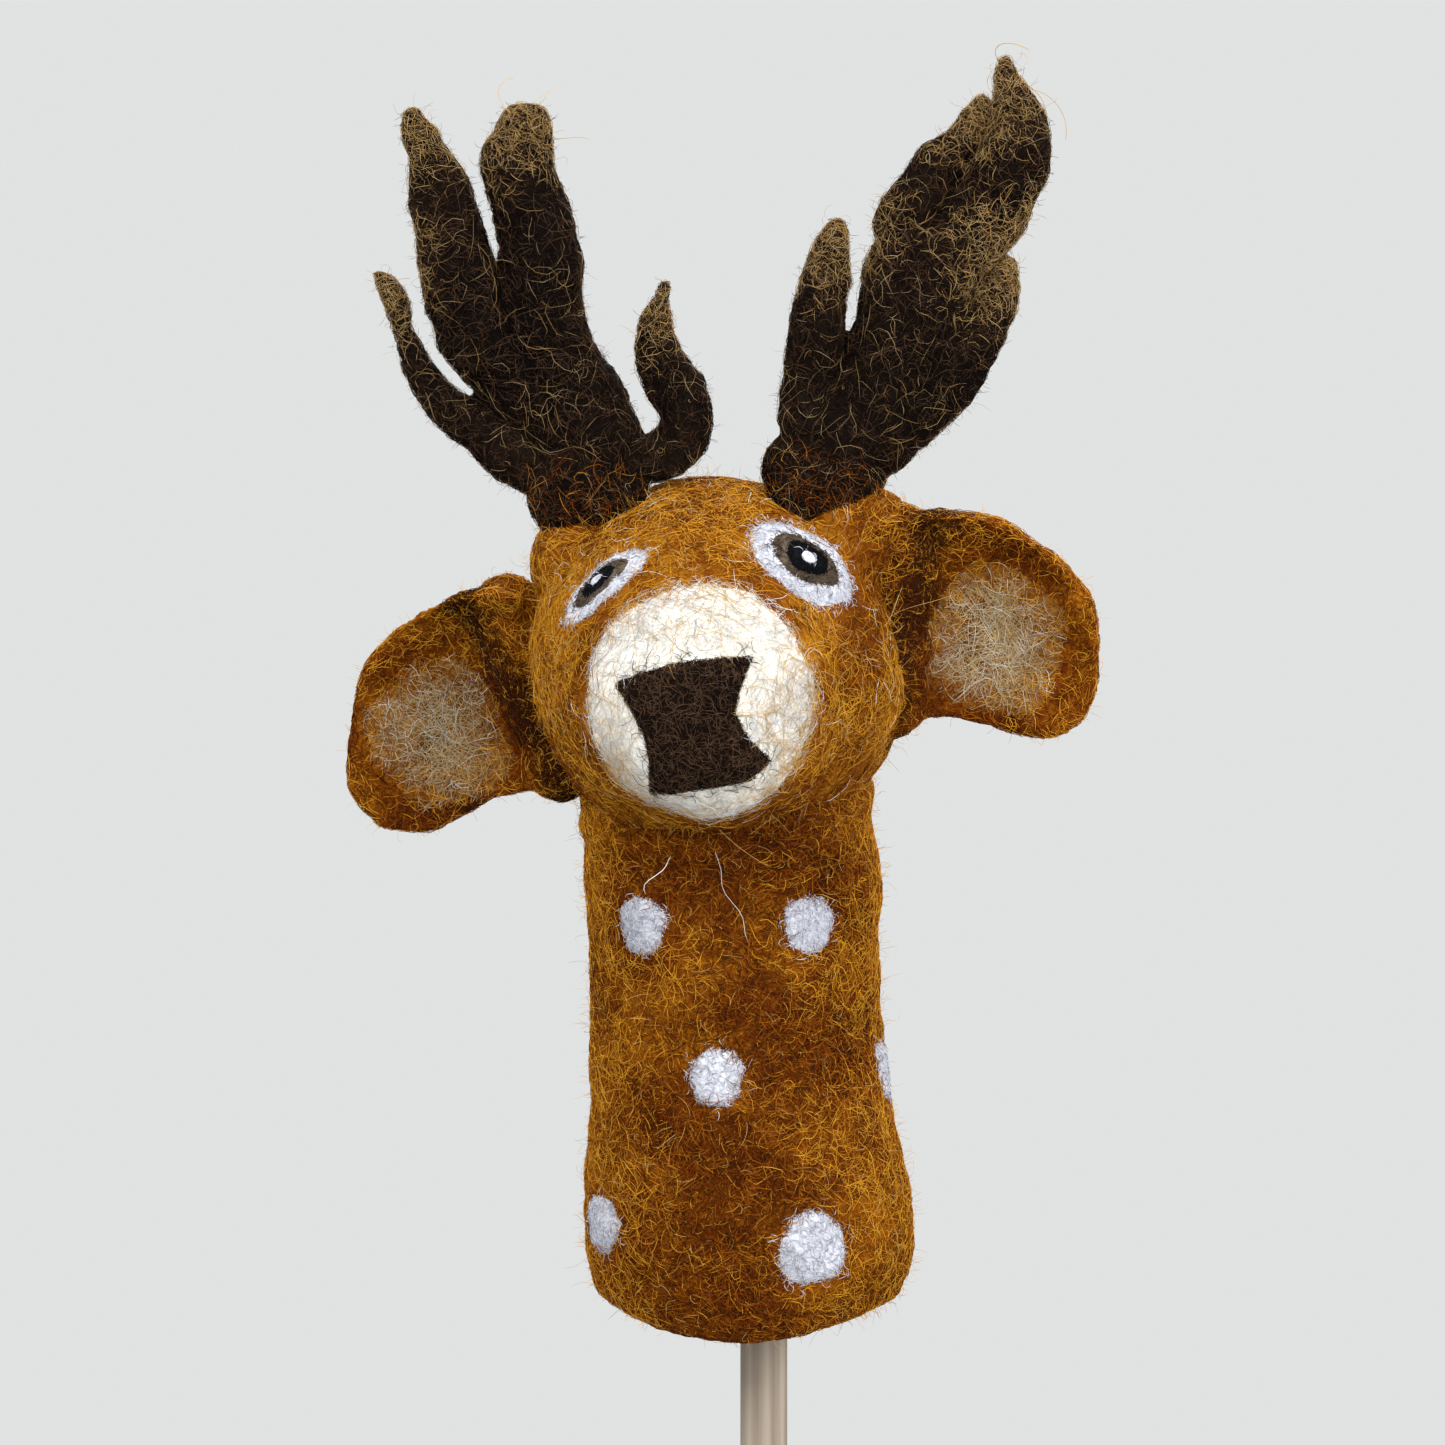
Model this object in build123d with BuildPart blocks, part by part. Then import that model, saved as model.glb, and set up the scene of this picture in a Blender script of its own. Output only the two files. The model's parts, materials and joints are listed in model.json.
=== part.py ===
"""A stag's-head finger puppet in felted wool, standing on a round wooden display stick.

Millimetres. +Z is up, the face looks along -Y and +X is on the viewer's right. The origin is the
centre of the stick's lower end. The felt sleeve drops over the stick, the head nods on the sleeve,
and the ears and antlers bend at their roots.
"""

import os
from math import cos, radians, sin

from build123d import *

# --- driving dimensions ---------------------------------------------------------------------------
stick_radius = 2.5
stick_length = 150.0
stick_tip_chamfer = 0.6

hem_height = 72.0            # the sleeve's lower edge above the stick's lower end
felt_wall = 3.2              # thickness of the finger sleeve
patch_rise = 0.45            # how far a needled-on patch stands proud of the felt under it
joint_gap = 0.35             # between felt pieces that bend against each other
seam_gap = 0.02              # between a patch and the felt it is needled on to

head_centre = Vector(-5.0, -3.0, hem_height + 72.4)
head_radius = 20.2
snout_radius = 15.5          # a smaller ball that swells the face forwards
snout_reach = 9.5            # from the head's centre to that ball's centre
head_yaw = 6.0               # the snout turns towards -X
head_dip = 9.0               # and points a little down
cover_wall = 3.0             # ochre felt over the wool stuffing
nod_pivot = Vector(-3.0, 0.0, head_centre.Z)
nod_limit = 14.0             # degrees, each way

finger_radius = 9.5          # the closed end of the finger pocket, a ball about the nod pivot
finger_flare = 12.2          # pocket radius where it leaves the head
lining_wall = 1.6

# Each level of the sleeve: height above the hem, centre in X, half width and half depth.
sleeve_levels = [
    (0.0, -1.4, 13.4, 11.6),
    (5.0, -1.5, 16.2, 13.8),
    (11.0, -1.6, 17.6, 14.8),
    (18.0, -1.9, 17.4, 14.8),
    (29.0, -2.7, 16.0, 14.0),
    (42.0, -3.1, 15.9, 13.6),
    (56.0, -3.5, 15.6, 13.3),
    (68.0, -3.9, 15.2, 13.1),
]
hem_arc_radius = 30.0        # the hem hangs lowest at the middle of the front and the back

# Spots on the sleeve: height above the hem, bearing from the front towards +X, radius.
spot_places = [
    (45.2, -39.0, 2.9), (45.4, 31.0, 2.8), (46.0, 112.0, 2.9), (45.0, 178.0, 3.0), (44.6, -114.0, 2.8),
    (29.4, -9.0, 2.9), (29.4, 86.0, 3.0), (29.8, 164.0, 2.9), (29.0, -112.0, 2.8),
    (13.4, -63.0, 2.8), (11.4, 23.0, 3.6), (12.4, 110.0, 3.0), (13.0, -150.0, 3.1),
]

muzzle_radius = 12.6
nose_middle = (0.4, -2.8)    # from the snout axis, to the viewer's right and up
nose_tilt = 11.5
nose_height = 12.0
nose_top, nose_waist, nose_bottom = 14.6, 10.2, 13.2

# Eyes: clock angle round the snout axis, distance from it, half lengths round and along the radius.
eye_places = {"left": (133.5, 15.2, 6.2, 3.2), "right": (51.0, 17.3, 6.5, 4.4)}
eye_layers = {"white": (1.0, 0.0, 0.45), "iris": (0.6, 0.45, 0.7), "pupil": (0.36, 0.7, 0.95),
              "glint": (0.15, 0.95, 1.15)}

# The ear's edge, from the middle of its root: outwards, and up across the face.
ear_outline = [
    (-6.0, 0.0), (-5.0, 9.0), (2.5, 12.0), (9.5, 11.5), (15.4, 8.6), (19.8, 3.6), (21.9, -2.4), (20.8, -7.2),
    (16.8, -9.4), (10.0, -9.7), (3.0, -10.2), (-5.0, -8.0),
]
ear_dish = 20.0              # radius of the ball that the ear's cup is part of
ear_thickness = 2.4
ear_lining_size = 6.6, 7.4   # half widths outwards and up
ear_knuckle = 1.8            # radius of the felted root that the ear bends on
ear_root_length = 14.0
ear_limit = 25.0
# Ears: clock angle of the root, distance from root to the middle of the cup, droop below level.
ear_places = {"left": (185.5, 10.6, 26.0), "right": (15.5, 9.6, 12.0)}

antler_ball = 4.2
# Antlers: clock angle of the root, then each tine's sections from the root as (x, y, z, radius).
antlers = {
    "left": (128.0, {
        "beam": [
            (0, 0, 0, 3.3), (0.1, 0, 3, 3.7), (0.2, 0, 7, 4.4), (-1.7, 0, 12.5, 4.2), (-5.1, 0, 19, 4.3),
            (-5.9, 0, 27, 4.3), (-7.5, 0, 34, 3.8), (-8.1, 0, 40, 3.0), (-8.6, 0, 42.8, 0.8),
        ],
        "fork": [
            (-3.3, 0.5, 8.4, 3.4), (-7.8, 0.5, 13.7, 4.0), (-12.6, 0.5, 20, 4.1), (-15, 0.5, 27, 3.8),
            (-16.6, 0.5, 34.5, 3.0), (-18.2, 0.5, 39.6, 1.8), (-19.6, 0.5, 43.0, 0.5),
        ],
        "outer_tine": [
            (-1.6, 1, 4.8, 2.4), (-9.0, 1, 6.6, 2.8), (-13, 1, 9.5, 2.6), (-16.8, 1, 12.6, 2.0),
            (-20.1, 1, 18.2, 1.3), (-23.4, 1, 25.8, 0.5),
        ],
        "brow_tine": [
            (0.6, -1, 5.6, 2.0), (4.8, -1, 6.0, 2.2), (8.6, -1, 7.8, 2.7), (9.2, -1, 11.8, 2.9),
            (6.8, -1, 16.4, 2.5), (6.2, -1, 20.6, 1.3), (7.2, -1, 24.6, 0.5),
        ],
    }),
    "right": (60.0, {
        "beam": [
            (0, 0, 0, 3.3), (1.2, 0, 3, 3.8), (3.6, 0, 6.6, 4.5), (7.7, 0, 12, 4.6), (11, 0, 18, 4.5),
            (14.6, 0, 25.5, 4.1), (19.4, 0, 31.8, 3.9), (22.0, 0, 39, 2.9), (21.0, 0, 43.6, 1.6),
            (20.3, 0, 46.8, 0.5),
        ],
        "fork": [
            (4.5, 1, 8.6, 3.6), (7.4, 1, 14.6, 4.0), (9.3, 1, 22, 3.8), (10.8, 1, 29.6, 3.4),
            (14.6, 1, 36.2, 2.5), (18.2, 1, 42.6, 0.6),
        ],
        "inner_tine": [
            (1.2, -0.5, 6.0, 3.0), (-0.1, -0.5, 11, 3.3), (0.5, -0.5, 16.5, 3.0),
            (1.6, -0.5, 22.6, 2.7), (2.4, -0.5, 27.0, 1.6), (2.8, -0.5, 29.6, 0.6),
        ],
        "outer_tine": [
            (4.6, -0.5, 5.6, 3.2), (10.0, -0.5, 8.6, 3.8), (14.4, -0.5, 13.0, 3.3),
            (18.2, -0.5, 18.4, 2.5), (20.6, -0.5, 25.4, 0.8),
        ],
    }),
}

# --- frames worked out from the dimensions --------------------------------------------------------
snout = Vector(
    -sin(radians(head_yaw)) * cos(radians(head_dip)),
    -cos(radians(head_yaw)) * cos(radians(head_dip)),
    -sin(radians(head_dip)),
)
face_right = Vector(cos(radians(head_yaw)), -sin(radians(head_yaw)), 0)
face_up = snout.cross(face_right)
face_plane = Plane(head_centre, x_dir=face_right, z_dir=snout)
nod_axis = Axis(nod_pivot, (1, 0, 0))

os.makedirs("parts", exist_ok=True)


def save(piece, label):
    """Labels a finished part and writes it as its own node."""
    piece.part.label = label
    export_step(piece.part, f"parts/{label}.step")


def around_face(clock, radius, forward=0.0):
    """A point at a clock angle about the snout axis, counted from the viewer's right over the top."""
    angle = radians(clock)
    across = face_right * (radius * cos(angle)) + face_up * (radius * sin(angle))
    return head_centre + across + snout * forward


def head_form(grow=0.0):
    """The head's outer form, a ball with a smaller one swelling the face, grown outwards all over."""
    with BuildPart(mode=Mode.PRIVATE) as form:
        with Locations(head_centre):
            Sphere(head_radius + grow)
        with Locations(head_centre + snout * snout_reach):
            Sphere(snout_radius + grow)
    return form.part


def finger_space(grow=0.0):
    """The finger pocket inside the head: a ball about the nod pivot and a flared way down from it."""
    drop = head_radius + 6
    with BuildPart(mode=Mode.PRIVATE) as space:
        with BuildSketch(Plane(nod_pivot, x_dir=(1, 0, 0), z_dir=(0, -1, 0))):
            with BuildLine():
                CenterArc((0, 0), finger_radius + grow, 0, 90)
                Polyline((finger_radius + grow, 0), (finger_flare + grow, -drop), (0, -drop),
                         (0, finger_radius + grow))
            make_face()
        revolve(axis=Axis(nod_pivot, (0, 0, 1)))
    return space.part


def stacked_ellipses(levels):
    """A loft through ellipses at heights above the hem: each level is height, middle, width, depth."""
    with BuildPart(mode=Mode.PRIVATE) as form:
        for height, middle, half_width, half_depth in levels:
            with BuildSketch(Plane((middle, 0, hem_height + height))):
                Ellipse(half_width, half_depth)
        loft()
    return form.part


def sleeve_form(grow=0.0):
    """The outside of the finger sleeve, grown outwards."""
    return stacked_ellipses([(h, m, w + grow, d + grow) for h, m, w, d in sleeve_levels])


def sleeve_at(height):
    """Centre in X, half width and half depth of the sleeve at a height above the hem."""
    for low, high in zip(sleeve_levels, sleeve_levels[1:]):
        if low[0] <= height <= high[0]:
            share = (height - low[0]) / (high[0] - low[0])
            return [a + share * (b - a) for a, b in zip(low[1:], high[1:])]


pocket = finger_space()
pocket_outside = finger_space(lining_wall)
sleeve_outside = sleeve_form()
antler_roots = {side: around_face(clock, head_radius + 0.2) for side, (clock, _) in antlers.items()}

ear_planes = {}
for side, (clock, _, droop) in ear_places.items():
    sideways = face_right * (-1 if side == "left" else 1)
    outward = sideways * cos(radians(droop)) - face_up * sin(radians(droop))
    ear_planes[side] = Plane(around_face(clock, head_radius + 0.2), x_dir=outward, z_dir=snout)

# --- stick ----------------------------------------------------------------------------------------
with BuildPart() as stick:
    Cylinder(stick_radius, stick_length, align=(Align.CENTER, Align.CENTER, Align.MIN))
    chamfer(stick.edges().filter_by(GeomType.CIRCLE).sort_by(Axis.Z)[-1], stick_tip_chamfer)
save(stick, "stick")

# --- sleeve: a felt tube, open at the hem, its top edge cupped to let the head nod -----------------
with BuildPart() as sleeve:
    add(sleeve_outside)
    add(
        stacked_ellipses(
            [(-1.0, sleeve_levels[0][1], 10.0, 8.2)]
            + [(h, m, w - felt_wall, d - felt_wall) for h, m, w, d in sleeve_levels[1:]]
        ),
        mode=Mode.SUBTRACT,
    )
    for step in (-1.0, -0.5, 0.0, 0.5, 1.0):
        add(head_form(joint_gap).rotate(nod_axis, step * nod_limit), mode=Mode.SUBTRACT)
    with BuildSketch(Plane((sleeve_levels[0][1], 0, hem_height + hem_arc_radius), x_dir=(1, 0, 0),
                           z_dir=(0, -1, 0))):
        Rectangle(2.2 * hem_arc_radius, 1.1 * hem_arc_radius, align=(Align.CENTER, Align.MAX))
        Circle(hem_arc_radius, mode=Mode.SUBTRACT)
    extrude(amount=hem_arc_radius, both=True, mode=Mode.SUBTRACT)
save(sleeve, "sleeve")

# --- spots: thin patches needled on to the sleeve --------------------------------------------------
for number, (height, bearing, radius) in enumerate(spot_places, 1):
    middle, half_width, half_depth = sleeve_at(height)
    direction = Vector(sin(radians(bearing)) / half_width, -cos(radians(bearing)) / half_depth, 0)
    where = Vector(middle + half_width * sin(radians(bearing)), -half_depth * cos(radians(bearing)),
                   hem_height + height)
    with BuildPart() as spot:
        with BuildSketch(Plane(where, x_dir=direction.cross(Vector(0, 0, 1)), z_dir=direction)):
            Ellipse(radius, radius * 1.06)
        extrude(amount=3.0, both=True)
        add(sleeve_form(patch_rise), mode=Mode.INTERSECT)
        add(sleeve_form(seam_gap), mode=Mode.SUBTRACT)
    save(spot, f"spot_{number}")

# --- head: felt cover, wool stuffing and the sleeve's closed end, with room for the roots -----------
with BuildPart() as head_cover:
    add(head_form())
    add(pocket_outside, mode=Mode.SUBTRACT)
    for root in antler_roots.values():
        with Locations(root):
            Sphere(antler_ball + joint_gap, mode=Mode.SUBTRACT)
    for plane in ear_planes.values():
        with Locations(plane):
            Cylinder(ear_knuckle + joint_gap, ear_root_length + 2 * joint_gap, rotation=(90, 0, 0),
                     mode=Mode.SUBTRACT)
    add(head_form(-cover_wall), mode=Mode.SUBTRACT)
save(head_cover, "head_cover")

with BuildPart() as head_stuffing:
    add(head_form(-cover_wall))
    add(pocket_outside, mode=Mode.SUBTRACT)
    for root in antler_roots.values():
        with Locations(root):
            Sphere(antler_ball + joint_gap, mode=Mode.SUBTRACT)
    for plane in ear_planes.values():
        with Locations(plane):
            Cylinder(ear_knuckle + joint_gap, ear_root_length + 2 * joint_gap, rotation=(90, 0, 0),
                     mode=Mode.SUBTRACT)
save(head_stuffing, "head_stuffing")

with BuildPart() as finger_end:
    add(pocket_outside)
    add(pocket, mode=Mode.SUBTRACT)
    add(head_form(), mode=Mode.INTERSECT)
save(finger_end, "finger_end")

# --- face -----------------------------------------------------------------------------------------
with BuildPart() as muzzle:
    with BuildSketch(face_plane):
        Circle(muzzle_radius)
    extrude(amount=snout_reach + snout_radius + 2)
    add(head_form(patch_rise), mode=Mode.INTERSECT)
    add(head_form(seam_gap), mode=Mode.SUBTRACT)
save(muzzle, "muzzle")

nose_plane = Plane(
    head_centre + face_right * nose_middle[0] + face_up * nose_middle[1],
    x_dir=face_right * cos(radians(nose_tilt)) + face_up * sin(radians(nose_tilt)),
    z_dir=snout,
)
with BuildPart() as nose:
    with BuildSketch(nose_plane):
        with BuildLine():
            top = Line((-nose_top / 2, nose_height / 2), (nose_top / 2, nose_height / 2))
            right = ThreePointArc(top @ 1, (nose_waist / 2, 0), (nose_bottom / 2, -nose_height / 2))
            bottom = Line(right @ 1, (-nose_bottom / 2, -nose_height / 2))
            ThreePointArc(bottom @ 1, (-nose_waist / 2, 0), top @ 0)
        make_face()
    extrude(amount=snout_reach + snout_radius + 2)
    add(head_form(2 * patch_rise), mode=Mode.INTERSECT)
    add(head_form(patch_rise + seam_gap), mode=Mode.SUBTRACT)
save(nose, "nose")

for side, (clock, radius, half_round, half_along) in eye_places.items():
    where = around_face(clock, radius, (head_radius**2 - radius**2) ** 0.5)
    outward = where - head_centre
    round_face = around_face(clock + 90, 1) - head_centre
    for layer, (share, low, high) in eye_layers.items():
        with BuildPart() as eye:
            with BuildSketch(Plane(where, x_dir=round_face, z_dir=outward)):
                Ellipse(half_round * share, half_along * share)
            extrude(amount=4.0, both=True)
            add(head_form(high), mode=Mode.INTERSECT)
            add(head_form(low + seam_gap), mode=Mode.SUBTRACT)
        save(eye, f"eye_{layer}_{side}")

# --- ears: a felt cup that opens forwards, its lining, and the root it bends on --------------------
for side, (_, reach, _) in ear_places.items():
    plane = ear_planes[side]
    upwards = -1 if side == "left" else 1
    cup_plane = Plane(plane.from_local_coords((reach, 0, 0)), x_dir=plane.x_dir, z_dir=plane.z_dir)
    dish_centre = (0, 0, ear_dish - 3.0)
    with BuildPart() as ear_shell:
        with BuildSketch(plane):
            with BuildLine():
                Spline(*[(x, y * upwards) for x, y in ear_outline], periodic=True)
            make_face()
        extrude(amount=ear_dish / 2, both=True)
        with Locations(cup_plane * Location(dish_centre)):
            Sphere(ear_dish + ear_thickness, mode=Mode.INTERSECT)
            Sphere(ear_dish, mode=Mode.SUBTRACT)
        for step in (-1.0, -0.5, 0.0, 0.5, 1.0):
            flexed = head_form(2 * joint_gap).rotate(Axis(plane.origin, plane.y_dir), step * ear_limit)
            add(flexed, mode=Mode.SUBTRACT)
        with Locations(plane):
            Cylinder(ear_knuckle, ear_root_length, rotation=(90, 0, 0))
    save(ear_shell, f"ear_shell_{side}")
    with BuildPart() as ear_lining:
        with BuildSketch(cup_plane):
            with Locations((0.6, -0.8 * upwards)):
                Ellipse(*ear_lining_size)
        extrude(amount=ear_dish / 2, both=True)
        with Locations(cup_plane * Location(dish_centre)):
            Sphere(ear_dish - seam_gap, mode=Mode.INTERSECT)
            Sphere(ear_dish - patch_rise, mode=Mode.SUBTRACT)
    save(ear_lining, f"ear_lining_{side}")


# --- antlers: a ball root in the head and four felted tines each -----------------------------------
def tine_form(root, sections):
    """A tine as a smooth loft of circles square to its own path."""
    points = [root + Vector(x, y, z) for x, y, z, _ in sections]
    with BuildPart(mode=Mode.PRIVATE) as form:
        for index, (point, section) in enumerate(zip(points, sections)):
            ahead = points[min(index + 1, len(points) - 1)]
            behind = points[max(index - 1, 0)]
            with BuildSketch(Plane(point, x_dir=(0, 1, 0), z_dir=ahead - behind)):
                Circle(section[3])
        loft()
    return form.part


for side, (_, tines) in antlers.items():
    root = antler_roots[side]
    with BuildPart() as beam:
        add(tine_form(root, tines["beam"]))
        with Locations(root):
            Sphere(antler_ball)
    save(beam, f"antler_beam_{side}")
    made = [beam.part]
    for name, sections in list(tines.items())[1:]:
        with BuildPart() as tine:
            add(tine_form(root, sections))
            for earlier in made:
                add(earlier, mode=Mode.SUBTRACT)
        made.append(tine.part)
        save(tine, f"antler_{name}_{side}")
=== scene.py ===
"""The looks of a felted stag finger puppet on a stick: matted wool, needle-felted patches and fuzz."""

import json
from math import cos, pi, radians, sin

import bmesh
import bpy
import numpy as np
from mathutils import Matrix, Vector, noise
from mathutils.bvhtree import BVHTree


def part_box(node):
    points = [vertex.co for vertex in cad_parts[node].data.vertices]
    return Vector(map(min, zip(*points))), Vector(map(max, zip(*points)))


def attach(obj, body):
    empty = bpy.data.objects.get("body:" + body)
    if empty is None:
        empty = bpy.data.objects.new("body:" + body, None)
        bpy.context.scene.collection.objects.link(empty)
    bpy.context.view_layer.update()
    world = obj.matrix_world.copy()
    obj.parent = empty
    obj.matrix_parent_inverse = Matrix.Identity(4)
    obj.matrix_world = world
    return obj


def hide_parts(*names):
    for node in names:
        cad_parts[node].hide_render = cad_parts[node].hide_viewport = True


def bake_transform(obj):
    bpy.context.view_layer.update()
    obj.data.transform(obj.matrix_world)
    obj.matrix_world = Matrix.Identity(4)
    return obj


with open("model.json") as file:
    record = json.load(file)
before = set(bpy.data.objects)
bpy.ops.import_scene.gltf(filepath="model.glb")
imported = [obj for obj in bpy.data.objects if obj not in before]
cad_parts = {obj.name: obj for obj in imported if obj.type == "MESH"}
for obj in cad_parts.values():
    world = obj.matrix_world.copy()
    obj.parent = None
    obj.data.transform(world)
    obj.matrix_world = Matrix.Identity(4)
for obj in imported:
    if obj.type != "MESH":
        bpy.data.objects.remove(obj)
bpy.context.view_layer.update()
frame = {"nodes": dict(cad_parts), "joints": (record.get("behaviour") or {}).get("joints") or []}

MM = 0.001
JOINTS = {j["name"]: j for j in frame["joints"]}
NOD_PIVOT = Vector(JOINTS["head_nod"]["pos_m"])
ROOTS = {
    f"{kind}_{side}": Vector(JOINTS[f"{kind}_{side}_flex"]["pos_m"])
    for kind in ("ear", "antler")
    for side in ("left", "right")
}
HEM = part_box("sleeve")[0].z
HEM_LIFT, HEM_LIFT_HEIGHT = 1.3 * MM, 14 * MM  # how far the hem's wool draws up, fading out at this height
PROBE = 12.0  # how far out from the skin a patch starts to look for it, in millimetres


def middle(node):
    """The centre of a CAD node's box."""
    low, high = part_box(node)
    return (low + high) / 2


# --- camera, light and floor ----------------------------------------------------------------------
def make_camera():
    """A long lens straight in front, framed so that the stick runs out of the bottom of the view."""
    aim = Vector((-4.4 * MM, 0, HEM + 66.3 * MM))
    distance, width, lift = 0.9, 153.7 * MM, radians(1.5)
    data = bpy.data.cameras.new("camera")
    data.sensor_width = 36
    data.lens = data.sensor_width * distance / width
    camera = bpy.data.objects.new("camera", data)
    bpy.context.scene.collection.objects.link(camera)
    camera.location = aim + Vector((0, -distance * cos(lift), distance * sin(lift)))
    camera.rotation_euler = (aim - camera.location).to_track_quat("-Z", "Y").to_euler()
    bpy.context.scene.camera = camera


def make_light(name, place, size, power, aim):
    """A soft square light that looks at a point."""
    data = bpy.data.lights.new(name, "AREA")
    data.size, data.energy = size, power
    light = bpy.data.objects.new(name, data)
    bpy.context.scene.collection.objects.link(light)
    light.location = place
    light.rotation_euler = (Vector(aim) - Vector(place)).to_track_quat("-Z", "Y").to_euler()


def make_studio():
    """A pale round floor, a pale world and three soft lights."""
    world = bpy.data.worlds.new("studio")
    bpy.context.scene.world = world
    world.use_nodes = True
    world.node_tree.nodes["Background"].inputs["Color"].default_value = (0.75, 0.765, 0.765, 1)
    world.node_tree.nodes["Background"].inputs["Strength"].default_value = 1.0
    target = (0, 0, HEM + 0.06)
    make_light("key", (-0.28, -0.55, 0.62), 0.4, 4.5, target)
    make_light("fill", (0.5, -0.5, 0.3), 0.5, 4.0, target)
    make_light("rim", (0.15, 0.5, 0.5), 0.4, 4, target)
    bpy.ops.mesh.primitive_circle_add(vertices=128, radius=0.28, fill_type="NGON")
    floor = bpy.context.object
    floor.name = "studio_floor"
    floor.data.materials.append(plain("floor_paint", (0.36, 0.365, 0.365), 0.9))


# --- materials ------------------------------------------------------------------------------------
def plain(name, colour, roughness, sheen=0.0, sheen_tint=(1, 1, 1)):
    """A one-colour material: a single dyed fibre has no pattern of its own."""
    material = bpy.data.materials.new(name)
    material.use_nodes = True
    shader = material.node_tree.nodes["Principled BSDF"]
    shader.inputs["Base Color"].default_value = (*colour, 1)
    shader.inputs["Roughness"].default_value = roughness
    shader.inputs["Specular IOR Level"].default_value = 0.06
    shader.inputs["Sheen Weight"].default_value = sheen
    shader.inputs["Sheen Tint"].default_value = (*sheen_tint, 1)
    return material


def link(tree, source, output, target, socket):
    """Joins one node's output to another's input."""
    tree.links.new(source.outputs[output], target.inputs[socket])


def felt(name, dark, mid, light, bump=0.5, glow=0.08):
    """Matted wool: blotches of dyed tones, a net of fine crossing fibres, and bump from the same net."""
    material = plain(name, mid, 0.95, sheen=glow, sheen_tint=light)
    tree = material.node_tree
    shader = tree.nodes["Principled BSDF"]
    place = tree.nodes.new("ShaderNodeTexCoord")
    blotch = tree.nodes.new("ShaderNodeTexNoise")
    blotch.inputs["Scale"].default_value = 90
    blotch.inputs["Detail"].default_value = 4
    strands = tree.nodes.new("ShaderNodeTexNoise")
    strands.inputs["Scale"].default_value = 900
    strands.inputs["Detail"].default_value = 3
    strands.inputs["Distortion"].default_value = 2.5
    mixed = tree.nodes.new("ShaderNodeMath")
    mixed.operation = "MULTIPLY_ADD"
    mixed.inputs[1].default_value = 0.45
    ramp = tree.nodes.new("ShaderNodeValToRGB")
    ramp.color_ramp.elements[0].position, ramp.color_ramp.elements[0].color = 0.52, (*dark, 1)
    ramp.color_ramp.elements[1].position, ramp.color_ramp.elements[1].color = 0.92, (*light, 1)
    ramp.color_ramp.elements.new(0.72).color = (*mid, 1)
    relief = tree.nodes.new("ShaderNodeBump")
    relief.inputs["Strength"].default_value = bump
    relief.inputs["Distance"].default_value = 0.3 * MM
    link(tree, place, "Object", blotch, "Vector")
    link(tree, place, "Object", strands, "Vector")
    link(tree, strands, "Fac", mixed, 0)
    link(tree, blotch, "Fac", mixed, 2)
    link(tree, mixed, "Value", ramp, "Fac")
    link(tree, ramp, "Color", shader, "Base Color")
    link(tree, strands, "Fac", relief, "Height")
    link(tree, relief, "Normal", shader, "Normal")
    return material


def stick_wood():
    """A sanded dowel: long pale grain lines along Z, with bump from the same grain."""
    material = plain("stick_wood", (0.5, 0.42, 0.33), 0.6)
    tree = material.node_tree
    shader = tree.nodes["Principled BSDF"]
    place = tree.nodes.new("ShaderNodeTexCoord")
    stretch = tree.nodes.new("ShaderNodeMapping")
    stretch.inputs["Scale"].default_value = (900, 900, 22)
    grain = tree.nodes.new("ShaderNodeTexNoise")
    grain.inputs["Scale"].default_value = 1.0
    grain.inputs["Detail"].default_value = 5
    ramp = tree.nodes.new("ShaderNodeValToRGB")
    ramp.color_ramp.elements[0].position, ramp.color_ramp.elements[0].color = 0.3, (0.20, 0.155, 0.115, 1)
    ramp.color_ramp.elements[1].position, ramp.color_ramp.elements[1].color = 0.68, (0.42, 0.35, 0.28, 1)
    relief = tree.nodes.new("ShaderNodeBump")
    relief.inputs["Strength"].default_value = 0.25
    relief.inputs["Distance"].default_value = 0.1 * MM
    link(tree, place, "Object", stretch, "Vector")
    link(tree, stretch, "Vector", grain, "Vector")
    link(tree, grain, "Fac", ramp, "Fac")
    link(tree, ramp, "Color", shader, "Base Color")
    link(tree, grain, "Fac", relief, "Height")
    link(tree, relief, "Normal", shader, "Normal")
    return material


# --- felt forms: CAD solids remeshed into one lumpy skin --------------------------------------------
def arrays(mesh):
    """A mesh's points, normals and triangles as arrays."""
    mesh.calc_loop_triangles()
    points = np.zeros(len(mesh.vertices) * 3)
    mesh.vertices.foreach_get("co", points)
    normals = np.zeros(len(mesh.vertices) * 3)
    mesh.vertices.foreach_get("normal", normals)
    triangles = np.zeros(len(mesh.loop_triangles) * 3, int)
    mesh.loop_triangles.foreach_get("vertices", triangles)
    return points.reshape(-1, 3), normals.reshape(-1, 3), triangles.reshape(-1, 3)


def new_object(name, mesh):
    """An object in the scene that shows a mesh."""
    obj = bpy.data.objects.new(name, mesh)
    bpy.context.scene.collection.objects.link(obj)
    return obj


def ball(place, size, turn=None):
    """An ellipsoid's points and faces, to be joined into a felt form."""
    mesh = bpy.data.meshes.new("ball")
    work = bmesh.new()
    bmesh.ops.create_icosphere(work, subdivisions=4, radius=1)
    matrix = Matrix.Translation(place) @ (turn or Matrix.Identity(4)) @ Matrix.Diagonal((*size, 1))
    work.transform(matrix)
    work.to_mesh(mesh)
    work.free()
    return mesh


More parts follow.
